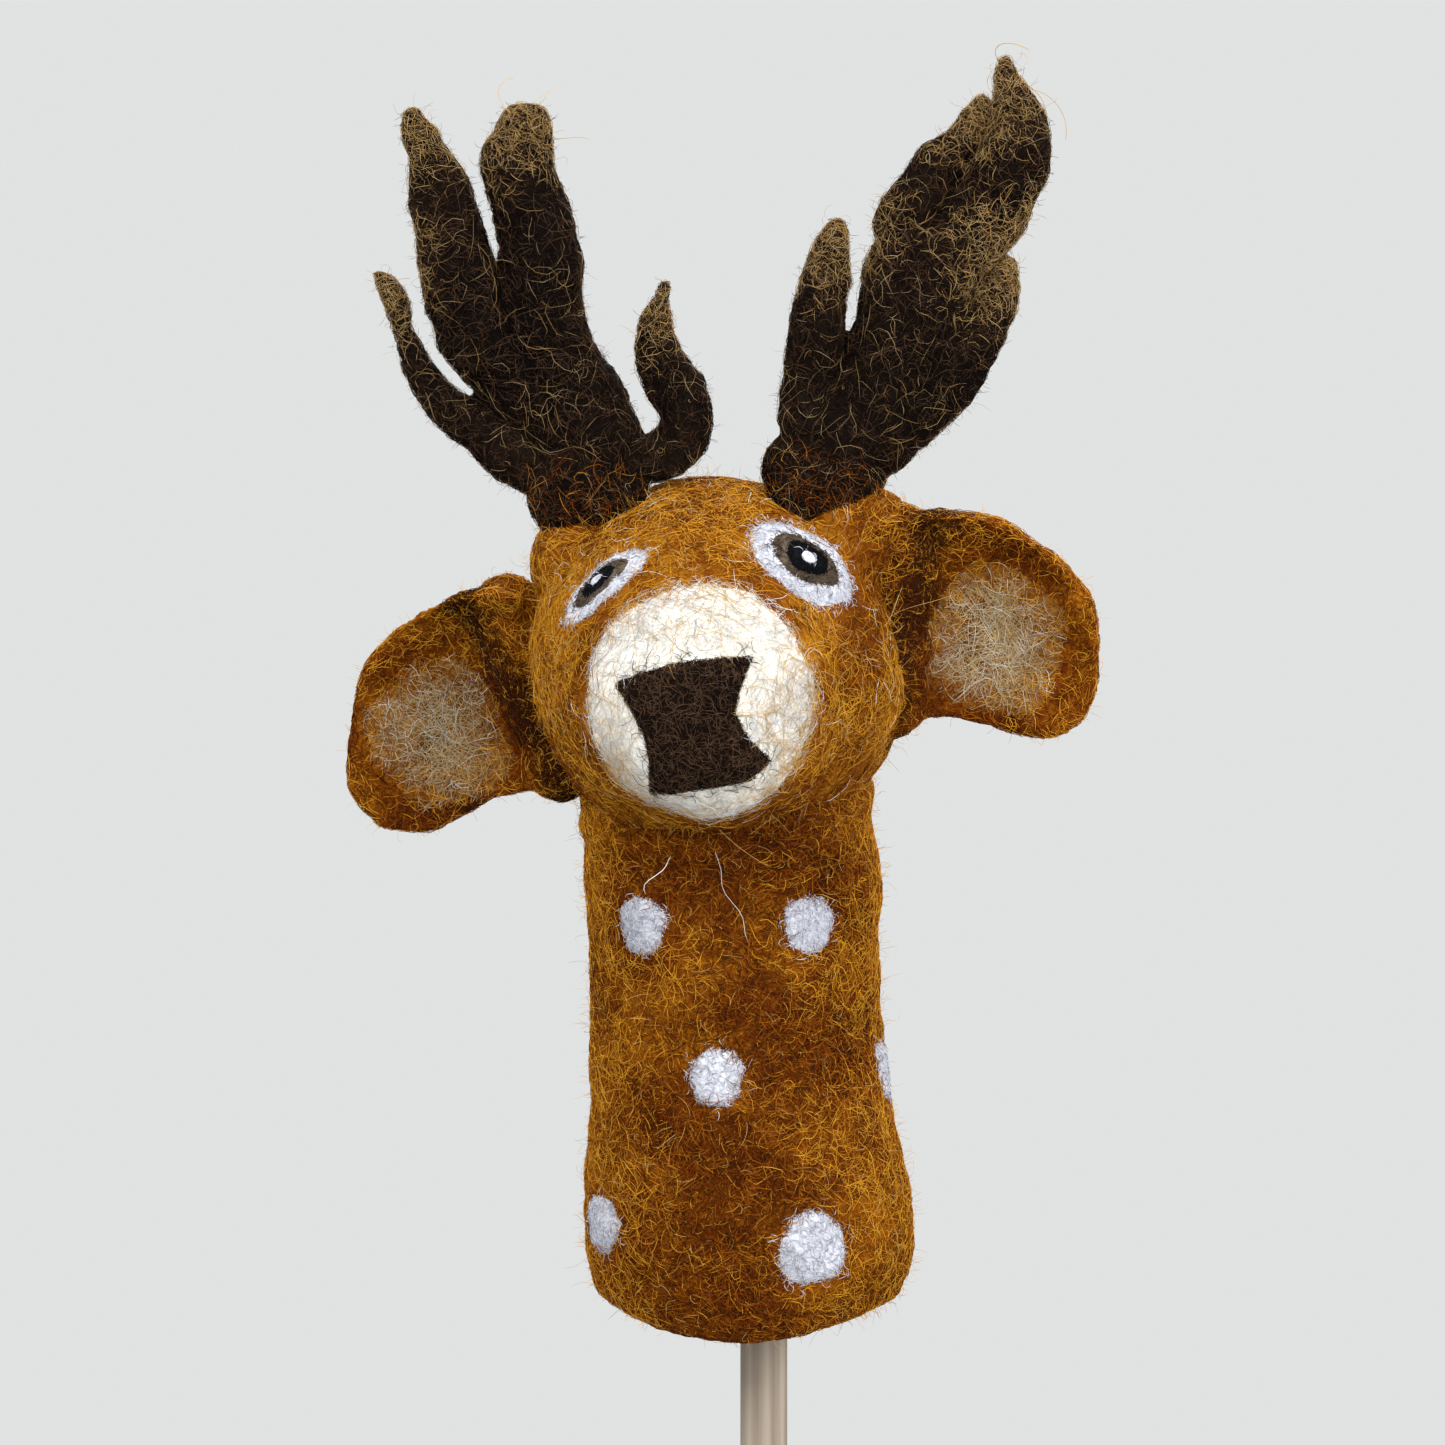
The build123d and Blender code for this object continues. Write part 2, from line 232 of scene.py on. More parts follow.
def ring(place, half_width, half_depth, thick, rise, around=72, sides=16):
    """A felt collar: a closed tube round an ellipse whose height changes by rise per unit of Y."""
    points, faces = [], []
    for i in range(around):
        turn = 2 * pi * i / around
        outward = Vector((cos(turn), sin(turn), 0))
        centre = place + Vector((half_width * cos(turn), half_depth * sin(turn),
                                 rise * half_depth * sin(turn)))
        for k in range(sides):
            roll = 2 * pi * k / sides
            points.append(centre + outward * (thick * cos(roll)) + Vector((0, 0, thick * sin(roll))))
            after, beside = (i + 1) % around, (k + 1) % sides
            faces.append((i * sides + k, after * sides + k, after * sides + beside, i * sides + beside))
    mesh = bpy.data.meshes.new("ring")
    mesh.from_pydata(points, [], faces)
    return mesh


def joined(name, meshes):
    """One mesh that holds several."""
    points, faces, count = [], [], 0
    for mesh in meshes:
        co, _, triangles = arrays(mesh)
        points.append(co)
        faces.append(triangles + count)
        count += len(co)
    mesh = bpy.data.meshes.new(name)
    mesh.from_pydata(np.concatenate(points).tolist(), [], np.concatenate(faces).tolist())
    return mesh


def lump(points, normals, sizes, seed):
    """Moves points along their normals by noise: sizes lists (wavelength, height) in millimetres."""
    shift = np.zeros(len(points))
    for number, (wave, height) in enumerate(sizes):
        offset = Vector((seed * 3.7 + number * 11.3, seed * 1.9, number * 5.1))
        scale = 1 / (wave * MM)
        values = [noise.noise(Vector(p) * scale + offset) for p in points]
        shift += np.array(values) * height * MM
    return points + normals * shift[:, None]


def felt_form(name, nodes, material, voxel=0.6, smooth=6, sizes=((6, 0.5), (1.6, 0.22)), seed=1, extra=(),
              inset=0.0):
    """Joins CAD nodes and extra forms into one remeshed, smoothed and lumpy skin that replaces them."""
    obj = new_object(name, joined(name, [frame["nodes"][n].data for n in nodes] + list(extra)))
    remesh = obj.modifiers.new("remesh", "REMESH")
    remesh.mode, remesh.voxel_size = "VOXEL", voxel * MM
    soften = obj.modifiers.new("soften", "SMOOTH")
    soften.factor, soften.iterations = 0.5, smooth
    shape = bpy.data.meshes.new_from_object(obj.evaluated_get(bpy.context.evaluated_depsgraph_get()))
    obj.modifiers.clear()
    obj.data = shape
    shape.name = name
    points, normals, _ = arrays(shape)
    points = lump(points - normals * inset * MM, normals, sizes, seed)
    shape.vertices.foreach_set("co", points.ravel())
    shape.update()
    shape.materials.clear()
    shape.materials.append(material)
    shape.shade_smooth()
    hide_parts(*nodes)
    return obj


class Surface:
    """A felt skin to grow fibres on or to lay patches on."""

    def __init__(self, *objects):
        parts = [arrays(o.data) for o in objects]
        starts = np.cumsum([0] + [len(p[0]) for p in parts])
        self.points = np.concatenate([p[0] for p in parts])
        self.normals = np.concatenate([p[1] for p in parts])
        self.triangles = np.concatenate([p[2] + s for p, s in zip(parts, starts)])
        self.tree = BVHTree.FromPolygons(self.points.tolist(), self.triangles.tolist())
        a, b, c = (self.points[self.triangles[:, i]] for i in range(3))
        cross = np.cross(b - a, c - a)
        self.areas = np.linalg.norm(cross, axis=1) / 2
        self.area = self.areas.sum() / MM**2

    def scatter(self, rng, count, chance=None):
        """Random points and normals, evenly by area, thinned by chance(points) from 0 to 1."""
        share = self.areas
        if chance is not None:
            centres = self.points[self.triangles].mean(axis=1)
            share = share * np.clip(chance(centres), 0, 1)
        picked = rng.choice(len(share), count, p=share / share.sum())
        weights = rng.dirichlet((1, 1, 1), count)
        corners = self.triangles[picked]
        points = np.einsum("nk,nkd->nd", weights, self.points[corners])
        normals = np.einsum("nk,nkd->nd", weights, self.normals[corners])
        return points, normals / np.linalg.norm(normals, axis=1)[:, None]

    def thin_inner_wall(self, axis_x, share):
        """Makes a standing tube's inner wall, which faces its axis, catch only a share of the fibres."""
        centres = self.points[self.triangles].mean(axis=1)
        facing = self.normals[self.triangles].mean(axis=1)
        inward = facing[:, 0] * (centres[:, 0] - axis_x) + facing[:, 1] * centres[:, 1]
        self.areas[inward < 0] *= share
        self.area = self.areas.sum() / MM**2

    def covered(self, chance):
        """The area in square millimetres, each part counted by its chance."""
        if chance is None:
            return self.area
        centres = self.points[self.triangles].mean(axis=1)
        return (self.areas * np.clip(chance(centres), 0, 1)).sum() / MM**2

    def nearest(self, points):
        """The closest points and their smooth normals on the skin."""
        found = [self.tree.find_nearest(p) for p in points.tolist()]
        places = np.array([f[0] for f in found])
        normals = np.array([f[1] for f in found])
        return places, normals


# --- fibres ---------------------------------------------------------------------------------------
def across(normals, rng):
    """Two unit vectors square to each normal, the first in a random direction."""
    random = rng.normal(size=normals.shape)
    first = np.cross(normals, random)
    first /= np.linalg.norm(first, axis=1)[:, None]
    return first, np.cross(normals, first)


def tubes(name, paths, radius, material, sides=3):
    """Closed thin tubes along paths of shape (fibres, points, 3), thinner at both ends, as one mesh."""
    count, steps, _ = paths.shape
    ahead = np.empty_like(paths)
    ahead[:, 1:-1] = paths[:, 2:] - paths[:, :-2]
    ahead[:, 0] = paths[:, 1] - paths[:, 0]
    ahead[:, -1] = paths[:, -1] - paths[:, -2]
    ahead /= np.linalg.norm(ahead, axis=2)[..., None] + 1e-12
    side = np.cross(ahead, np.array([0.31, 0.17, 0.93]))
    side /= np.linalg.norm(side, axis=2)[..., None] + 1e-12
    other = np.cross(ahead, side)
    taper = np.full(steps, 1.0)
    taper[0], taper[-1] = 0.6, 0.35
    radius = np.asarray(radius).reshape(-1, 1) * taper * np.ones((count, 1))
    rings = []
    for k in range(sides):
        turn = 2 * pi * k / sides
        rings.append(paths + radius[..., None] * (side * cos(turn) + other * sin(turn)))
    points = np.stack(rings, axis=2).reshape(-1, 3)
    base = (np.arange(count) * steps * sides)[:, None, None]
    row = (np.arange(steps - 1) * sides)[None, :, None]
    k = np.arange(sides)[None, None, :]
    after = (k + 1) % sides
    quads = np.stack([base + row + k, base + row + after, base + row + sides + after,
                      base + row + sides + k], axis=-1).reshape(-1, 4)
    first = base[:, 0] + np.arange(sides)[::-1][None, :]
    last = base[:, 0] + (steps - 1) * sides + np.arange(sides)[None, :]
    caps = np.concatenate([first, last])
    mesh = bpy.data.meshes.new(name)
    mesh.vertices.add(len(points))
    mesh.vertices.foreach_set("co", points.ravel())
    mesh.loops.add(quads.size + caps.size)
    mesh.loops.foreach_set("vertex_index", np.concatenate([quads.ravel(), caps.ravel()]))
    sizes = np.concatenate([np.full(len(quads), 4), np.full(len(caps), sides)])
    mesh.polygons.add(len(sizes))
    mesh.polygons.foreach_set("loop_start", np.concatenate([[0], np.cumsum(sizes)[:-1]]))
    mesh.polygons.foreach_set("use_smooth", np.ones(len(sizes), bool))
    mesh.update(calc_edges=True)
    mesh.materials.append(material)
    return new_object(name, mesh)


def matted(surface, rng, count, length, lift, curl, chance=None, steps=5):
    """Paths of fibres that lie in the mat: each wanders over the skin and dips in at its ends."""
    place, normal = surface.scatter(rng, count, chance)
    first, second = across(normal, rng)
    step = (rng.uniform(0.6, 1.3, count) * length * MM / (steps - 1))[:, None]
    heading = np.zeros(count)
    turn = rng.normal(0, curl, count)
    wobble = rng.normal(0, curl * 0.6, (count, steps))
    height = rng.uniform(0.3, 1.0, count) * lift * MM
    paths = np.empty((count, steps, 3))
    for k in range(steps):
        rise = height * sin(pi * (k + 0.4) / (steps - 0.2)) - 0.04 * MM
        paths[:, k] = place + normal * rise[:, None]
        if k == steps - 1:
            break
        heading = heading + turn + wobble[:, k]
        place = place + step * (first * np.cos(heading)[:, None] + second * np.sin(heading)[:, None])
        place, normal = surface.nearest(place)
        first -= normal * np.einsum("nd,nd->n", first, normal)[:, None]
        first /= np.linalg.norm(first, axis=1)[:, None] + 1e-12
        second = np.cross(normal, first)
    return paths


def fuzz(surface, rng, count, length, curl, chance=None, steps=6, stand=0.55):
    """Paths of loose fibres that stand off the skin and curl over."""
    place, normal = surface.scatter(rng, count, chance)
    first, second = across(normal, rng)
    size = rng.uniform(0.4, 1.25, count) * length * MM
    lean = rng.normal(stand, 0.25, count)
    heading = lean.copy()
    bend = rng.normal(0, curl, count)
    sway = rng.normal(0, curl, count)
    side = np.zeros(count)
    paths = np.empty((count, steps, 3))
    spot = place - normal * 0.1 * MM
    for k in range(steps):
        paths[:, k] = spot
        direction = (normal * np.sin(heading)[:, None] + first * (np.cos(heading) * np.cos(side))[:, None]
                     + second * (np.cos(heading) * np.sin(side))[:, None])
        spot = spot + direction * (size / (steps - 1))[:, None]
        heading = heading + bend - 0.12
        side = side + sway
    return paths


# --- patches: thin pads of wool needled on to a skin ------------------------------------------------
class Patch:
    """A needled-on pad that follows the skin under it, with an outline given in its own plane."""

    def __init__(self, name, surface, centre, normal, right, outline, rise, material, rings=16, spokes=96,
                 depth=0.0, seed=0):
        self.centre, self.normal = np.array(centre), np.array(Vector(normal).normalized())
        right = np.array(right) - self.normal * np.dot(right, self.normal)
        self.right = right / np.linalg.norm(right)
        self.up = np.cross(self.normal, self.right)
        self.outline = outline
        angles = np.linspace(0, 2 * pi, spokes, endpoint=False)
        edge = outline(angles)
        top, under = [], []
        for ring in range(rings + 1):
            share = ring / rings
            for angle, reach in zip(angles, edge):
                x, y = share * reach * MM * cos(angle), share * reach * MM * sin(angle)
                origin = self.centre + self.right * x + self.up * y + self.normal * PROBE * MM
                hit, skin_normal, _, _ = surface.tree.ray_cast(Vector(origin), Vector(-self.normal))
                if hit is None:
                    below = Vector(origin - self.normal * PROBE * MM)
                    hit, skin_normal, _, _ = surface.tree.find_nearest(below)
                rough = noise.noise(Vector(origin) * 420 + Vector((seed, 0, 0))) * 0.08
                height = depth + rise * (1 - share**5) - 0.12 * share**5 + rough * (1 - share**4)
                top.append(np.array(hit + skin_normal * height * MM))
                under.append(np.array(hit - skin_normal * 0.5 * MM))
        self.obj = new_object(name, self.closed(name, top, under, rings, spokes))
        self.obj.data.materials.append(material)

    @staticmethod
    def closed(name, top, under, rings, spokes):
        """Two polar grids joined at the rim into one closed mesh."""
        count = (rings + 1) * spokes
        faces = []
        for ring in range(1, rings + 1):
            for k in range(spokes):
                a, b = ring * spokes + k, ring * spokes + (k + 1) % spokes
                faces.append((a - spokes, a, b, b - spokes))
                faces.append((count + a - spokes, count + b - spokes, count + b, count + a))
        for k in range(spokes):
            a, b = rings * spokes + k, rings * spokes + (k + 1) % spokes
            faces.append((a, count + a, count + b, b))
        mesh = bpy.data.meshes.new(name)
        mesh.from_pydata([tuple(p) for p in top + under], [], faces)
        work = bmesh.new()
        work.from_mesh(mesh)
        bmesh.ops.remove_doubles(work, verts=work.verts, dist=0.001 * MM)
        work.to_mesh(mesh)
        work.free()
        mesh.shade_smooth()
        return mesh

    def inside(self, points):
        """How far inside the outline each point lies, in millimetres, negative outside."""
        flat = (points - self.centre) / MM
        x, y = flat @ self.right, flat @ self.up
        depth = np.abs(flat @ self.normal)
        reach = self.outline(np.arctan2(y, x))
        return np.where(depth < PROBE - 1, reach - np.hypot(x, y), -1.0)


def wavy(radius_x, radius_y, seed, amount=0.06, square=0.0):
    """An ellipse's outline with a wavering hand-made edge; square above 0 makes it boxier."""
    def outline(angle):
        c, s = np.cos(angle), np.sin(angle)
        power = 2 + square
        radius = (np.abs(c / radius_x) ** power + np.abs(s / radius_y) ** power) ** (-1 / power)
        waver = (np.sin(3 * angle + seed) * 0.5 + np.sin(5 * angle + 2.1 * seed) * 0.35
                 + np.sin(8 * angle + seed) * 0.2)
        return radius * (1 + amount * waver)
    return outline


def away_from(*patches, soft=0.5):
    """A chance for fibres that falls to nothing inside the patches."""
    def chance(points):
        left = np.ones(len(points))
        for patch in patches:
            left *= np.clip(-patch.inside(points) / soft, 0, 1)
        return left
    return chance


def rim_of(patch, width):
    """A chance for fibres that is highest at a patch's edge."""
    def chance(points):
        return np.clip(1 - np.abs(patch.inside(points)) / width, 0, 1)
    return chance


def both(first, second):
    """The product of two chances."""
    def chance(points):
        return first(points) * second(points)
    return chance


def rims_of(patches, width):
    """A chance for fibres that is highest at the edge of any of the patches."""
    def chance(points):
        return np.max([rim_of(p, width)(points) for p in patches], axis=0)
    return chance


def dye(code):
    """An sRGB hex colour as linear red, green and blue."""
    parts = [int(code[i:i + 2], 16) / 255 for i in (0, 2, 4)]
    return tuple(p / 12.92 if p <= 0.04045 else ((p + 0.055) / 1.055) ** 2.4 for p in parts)


def wool(name, code, sheen=0.08):
    """One dyed fibre colour."""
    colour = dye(code)
    return plain(name, colour, 0.75, sheen=sheen, sheen_tint=colour)


WOOLS = {
    "gold": wool("wool_gold", "D89A2A", 0.35),
    "ochre": wool("wool_ochre", "9C5A10", 0.2),
    "rust": wool("wool_rust", "743406"),
    "umber": wool("wool_umber", "3C1B06"),
    "pale": wool("wool_pale", "CDA765"),
    "cream": wool("wool_cream", "ECE8DF"),
    "oat": wool("wool_oat", "D2C8B4"),
    "straw": wool("wool_straw", "B39A70"),
    "white": wool("wool_white", "D6D7E0"),
    "grey": wool("wool_grey", "A6A8B3"),
    "nose": wool("wool_nose", "2B1D15"),
    "nose_dark": wool("wool_nose_dark", "150D09"),
    "bark": wool("wool_bark", "5E4633"),
    "iris": wool("wool_iris", "5A4C3E"),
    "black": wool("wool_black", "0E1014"),
    "antler": wool("wool_antler", "1C120C"),
    "antler_dark": wool("wool_antler_dark", "100A07"),
    "antler_brown": wool("wool_antler_brown", "4C3524"),
    "tip": wool("wool_tip", "AC8A54"),
}

MOST_FIBRES = 7000  # in one piece


def grow(name, paths, tone, thickness, rng, place):
    """Turns paths into fibre pieces and puts each on its body with place(piece)."""
    radius = rng.uniform(0.7, 1.3, len(paths)) * thickness * MM / 2
    for number, start in enumerate(range(0, len(paths), MOST_FIBRES)):
        label = name if len(paths) <= MOST_FIBRES else f"{name}_{number + 1}"
        some = slice(start, start + MOST_FIBRES)
        place(tubes(label, paths[some], radius[some], WOOLS[tone]))


def painted_rim_light_sides(points):
    """Pushes warm dark wool to the middle of the sleeve's front and golden wool to its sides: the golden
    sides are painted rim light.
    """
    return 0.35 - 0.85 * (np.abs(points[:, 0] - NOD_PIVOT.x) / (14 * MM)) ** 1.6


def drift(tone, lean=None):
    """Where a tone gathers: warm dark wool in some patches of the coat, golden wool in the others."""
    sign = {"rust": 1, "umber": 1.4, "gold": -1.2, "pale": -1}.get(tone, 0)
    def chance(points):
        values = np.array([noise.noise(Vector(p) / (9 * MM)) for p in points])
        if lean:
            values += lean(points)
        return np.clip(0.5 + sign * values, 0.06, 1)
    return chance


def coat(prefix, surface, density, tones, length, lift, curl, thickness, seed, place, chance=None,
         lean=None):
    """A coat of matted fibres in several tones: density per square millimetre, tones as shares."""
    area = surface.covered(chance)
    for number, (tone, share) in enumerate(tones.items()):
        rng = np.random.default_rng(seed * 100 + number)
        where = both(chance, drift(tone, lean)) if chance else drift(tone, lean)
        paths = matted(surface, rng, int(area * density * share), length, lift, curl, where)
        grow(f"{prefix}_{tone}", paths, tone, thickness, rng, place)


def halo(prefix, surface, density, tone, length, curl, thickness, seed, place, chance=None):
    """Loose fibres that stand off the skin."""
    rng = np.random.default_rng(seed * 100 + 77)
    paths = fuzz(surface, rng, int(surface.covered(chance) * density), length, curl, chance)
    grow(f"{prefix}_{tone}", paths, tone, thickness, rng, place)


def strays(name, surface, count, spot, reach, length, tone, seed, place):
    """A few long loose fibres that hang off the skin near a spot."""
    rng = np.random.default_rng(seed)
    def near(points):
        return np.clip(1.5 - np.linalg.norm(points - np.array(spot), axis=1) / (reach * MM), 0, 1)
    paths = fuzz(surface, rng, count, length, 0.22, near, steps=12, stand=0.7)
    grow(name, paths, tone, 0.075, rng, place)


def hanging(name, surface, spot, hairs, tone, seed, place):
    """Long loose hairs under the chin: each starts aside of the spot, hangs down, sways and wriggles."""
    rng = np.random.default_rng(seed)
    paths = []
    for aside, drop, sway, wriggle in hairs:
        start, _ = surface.nearest(np.array([spot + Vector((aside, 0, 0)) * MM]))
        path = []
        for t in np.linspace(0, 1, 16):
            wander = sway * t * t + wriggle * sin(5.5 * t) * t + 0.25 * sin(17 * t + aside)
            path.append(start[0] + np.array((wander, -2.2 * sin(1.6 * t), -drop * t)) * MM)
        paths.append(path)
    grow(name, np.array(paths), tone, 0.075, rng, place)


# --- the puppet -------------------------------------------------------------------------------------
def on_neck(piece):
    """Bakes a sleeve piece's placement into its points."""
    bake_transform(piece)


def on_head(piece):
    """Head pieces move with the head."""
    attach(piece, "head")


def on_root(kind, side):
    """A placer for an ear's or antler's pieces: it bakes each piece's placement into its points."""
    body = f"{kind}_{side}"
    root = ROOTS[body]
    away = (middle(f"ear_shell_{side}") if kind == "ear" else middle(f"antler_beam_{side}")) - root
    away.normalize()
    def place(piece):
        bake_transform(piece)
    return place


def make_stick():
    """The dowel: its CAD solid, in wood."""
    stick = frame["nodes"]["stick"]
    material = stick_wood()
    stick.data.materials.clear()
    stick.data.materials.append(material)


BODY_FELT = felt("felt_body", dye("2A1103"), dye("602B04"), dye("985C0A"), glow=0.35)
HEAD_FELT = felt("felt_head", dye("3A1A05"), dye("743C08"), dye("A87018"), glow=0.35)
BODY_TONES = {"gold": 0.2, "ochre": 0.34, "rust": 0.29, "umber": 0.17}
HEAD_TONES = {"gold": 0.36, "pale": 0.05, "ochre": 0.33, "rust": 0.18, "umber": 0.08}
EAR_TONES = {"gold": 0.24, "ochre": 0.34, "rust": 0.28, "umber": 0.14}


def make_sleeve():
    """The finger sleeve, its spots and its coat."""
    collar = ring(NOD_PIVOT + Vector((-0.9, 0, -13.4)) * MM, 13.3 * MM, 11.4 * MM, 3.0 * MM, rise=0.17)
    under_chin = ring(NOD_PIVOT + Vector((-0.9, -0.5, -16.6)) * MM, 13.2 * MM, 11.4 * MM, 2.7 * MM,
                      rise=0.2)
    skin = felt_form("sleeve_felt", ["sleeve"], BODY_FELT, voxel=0.55, smooth=10,
                     sizes=((11, 0.8), (4, 0.35), (1.3, 0.16)), seed=3, extra=[collar, under_chin],
                     inset=0.45)
    points, _, _ = arrays(skin.data)
    points[:, 2] += HEM_LIFT * np.clip(1 - (points[:, 2] - HEM) / HEM_LIFT_HEIGHT, 0, 1) ** 2
    skin.data.vertices.foreach_set("co", points.ravel())
    skin.data.update()
    surface = Surface(skin)
    surface.thin_inner_wall(NOD_PIVOT.x, 0.04)
    spots = []
    for number, node in enumerate(sorted(n for n in frame["nodes"] if n.startswith("spot_"))):
        low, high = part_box(node)
        centre = (low + high) / 2
        outward = Vector(((centre.x - middle("sleeve").x) / 15.5, centre.y / 13.5, 0)).normalized()
        half_height = (high.z - low.z) / 2 / MM
        spot = Patch(f"{node}_wool", surface, centre, outward, Vector((0, 0, 1)).cross(outward),
                     wavy(half_height * 0.98, half_height * 1.05, number * 1.3, 0.09, square=0.3), 0.4,
                     felt_white, rings=8, spokes=48, seed=number)
        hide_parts(node)
        on_neck(spot.obj)
        spots.append(spot)
    clear = away_from(*spots, soft=0.9)
    # The lean paints rim light: golden wool at the sleeve's sides, darker wool in the middle.
    coat("sleeve_fibre", surface, 6.4, BODY_TONES, 3.2, 0.34, 0.5, 0.06, 11, on_neck, clear,
         painted_rim_light_sides)
    halo("sleeve_fuzz", surface, 0.9, "gold", 1.8, 0.4, 0.036, 12, on_neck, clear)
    halo("sleeve_fuzz", surface, 0.14, "pale", 3.0, 0.45, 0.035, 13, on_neck, clear)
    pads = [s.obj for s in spots]
    patch_coat("spot_fibre", pads, spots, surface, ("white", "grey"), on_neck, 21, density=10,
               length=1.2, spread=0.5, edge=1.8)
    coat("spot_rim_fibre", Surface(*pads), 7, {"ochre": 0.5, "rust": 0.5}, 1.6, 0.3, 0.5, 0.05, 24, on_neck,
         rims_of(spots, 0.7))
    on_neck(skin)


def patch_coat(prefix, objects, patches, under, tones, place, seed, density=8.0, length=1.7, spread=0.8,
               clear=None, edge=3.5, lift=0.25, thickness=0.06):
    """A dense coat on patches, and a few fibres across their edges that tie them to the felt below."""
    surface = Surface(*objects)
    main, second = tones
    coat(prefix, surface, density, {main: 0.75, second: 0.25}, length, lift, 0.6, thickness, seed, place,
         clear)
    rng = np.random.default_rng(seed + 2)
    length_of_edges = sum(2 * pi * p.outline(np.linspace(0, 6.2, 32)).mean() for p in patches)
    paths = matted(under, rng, int(length_of_edges * edge), length, 0.4, 0.5,
                   rims_of(patches, spread))
    grow(f"{prefix}_edge", paths, main, 0.055, rng, place)


felt_white = felt("felt_white", dye("A2A4AE"), dye("C2C4CD"), dye("DCDDE5"), bump=0.5)
felt_cream = felt("felt_cream", dye("D8D2C6"), dye("ECE8E0"), dye("F6F4EE"), bump=0.2)
felt_nose = felt("felt_nose", dye("0C0705"), dye("1D130D"), dye("2E2018"), bump=0.6)
felt_iris = felt("felt_iris", dye("2B231C"), dye("4C4036"), dye("6A5C4E"), bump=0.5)
felt_black = felt("felt_black", dye("040506"), dye("0A0B0E"), dye("181B20"), bump=0.5)
felt_antler = felt("felt_antler", dye("060403"), dye("100A07"), dye("22170F"), bump=0.7)
felt_lining = felt("felt_lining", dye("4E2C0C"), dye("80531E"), dye("A07A44"), bump=0.5)

snout = (middle("muzzle") - middle("head_stuffing")).normalized()
face_right = Vector((0, 0, 1)).cross(snout).normalized()
face_up = snout.cross(face_right)


def make_head():
    """The head's skin, its cream muzzle, nose and eyes, and their coats."""
    brows = [
        ball(ROOTS["antler_left"] + Vector((-1.6, 0.5, -5.0)) * MM, (5.8 * MM, 7 * MM, 6.2 * MM)),
        ball(ROOTS["antler_right"] + Vector((4.6, 1.0, -4.0)) * MM, (6.4 * MM, 7 * MM, 6.2 * MM)),
    ]
    skin = felt_form("head_felt", ["head_cover", "head_stuffing"], HEAD_FELT, voxel=0.55, smooth=14,
                     sizes=((14, 1.0), (5, 0.4), (1.4, 0.16)), seed=5, inset=0.25, extra=brows)
    surface = Surface(skin)
    muzzle = Patch("muzzle_wool", surface, middle("muzzle") - face_up * 0.9 * MM, snout, face_right,
                   wavy(12.4, 13.0, 0.6, 0.02), 0.4,
                   felt_cream, rings=28, spokes=128, seed=3)
    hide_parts("muzzle")
    on_head(muzzle.obj)
    muzzle_skin = Surface(muzzle.obj)
    nose = make_nose(muzzle_skin)
    patch_coat("muzzle_fibre", [muzzle.obj], [muzzle], surface, ("cream", "oat"), on_head, 31, density=6.5,
               length=4.2, spread=2.0, clear=away_from(nose, soft=1.2), lift=0.14, thickness=0.042)
    coat("muzzle_rim_fibre", muzzle_skin, 5, {"pale": 0.4, "gold": 0.4, "ochre": 0.2}, 2.6, 0.35, 0.5,
         0.05, 33, on_head, rim_of(muzzle, 1.6))
    coat("muzzle_long_fibre", muzzle_skin, 1.0, {"white": 0.5, "pale": 0.5}, 6.0, 0.5, 0.35, 0.05, 34,
         on_head, away_from(nose, soft=2.0))
    eyes = [make_eye(surface, side) for side in ("left", "right")]
    clear = away_from(muzzle, *[eye[0] for eye in eyes], soft=1.2)
    coat("head_fibre", surface, 6.2, HEAD_TONES, 3.2, 0.34, 0.45, 0.06, 41, on_head, clear)
    halo("head_fuzz", surface, 0.9, "gold", 2.0, 0.4, 0.036, 42, on_head, clear)
    halo("head_fuzz", surface, 0.2, "pale", 3.2, 0.45, 0.035, 43, on_head, clear)
    head = middle("head_stuffing")
    strays("chin_strays", surface, 5, head + snout * 6 * MM - face_up * 19 * MM, 6, 9, "pale", 44, on_head)
    hanging("chin_hairs", surface, head + snout * 9 * MM - face_up * 16 * MM,
            ((-3.5, 7.5, -2.2, 1.4), (1.2, 12.5, 2.6, -1.0)), "cream", 46, on_head)
    strays("cheek_strays", surface, 8, head + face_right * 18 * MM - face_up * 6 * MM, 9, 12, "pale", 45,
           on_head)
    on_head(skin)
    pocket = felt_form("finger_end_felt", ["finger_end"], BODY_FELT, voxel=0.7, smooth=3,
                       sizes=((3, 0.15),), seed=7)
    on_head(pocket)


def traced(corners):
    """An outline as a radius for each angle, from corners in millimetres that all see the middle."""
    corners = np.array(corners + corners[:1], float)
    share = np.linspace(0, 1, 40)[:-1, None]
    line = np.concatenate([a + (b - a) * share for a, b in zip(corners, corners[1:])])
    angles, reach = np.arctan2(line[:, 1], line[:, 0]), np.hypot(line[:, 0], line[:, 1])
    order = np.argsort(angles)
    def outline(angle):
        turn = (np.asarray(angle) + pi) % (2 * pi) - pi
        return np.interp(turn, angles[order], reach[order], period=2 * pi)
    return outline


NOSE_EDGE = [
    (-7.3, 6.3), (-4, 7.2), (0, 7.5), (4, 7.1), (7.5, 6.2), (5.7, 3.6), (4.7, 1.4),
    (5.3, -1.8), (6.9, -5.0), (4.4, -6.6), (-6.5, -6.2), (-5.5, -2.6), (-5.2, 0.6), (-6.1, 3.6),
]


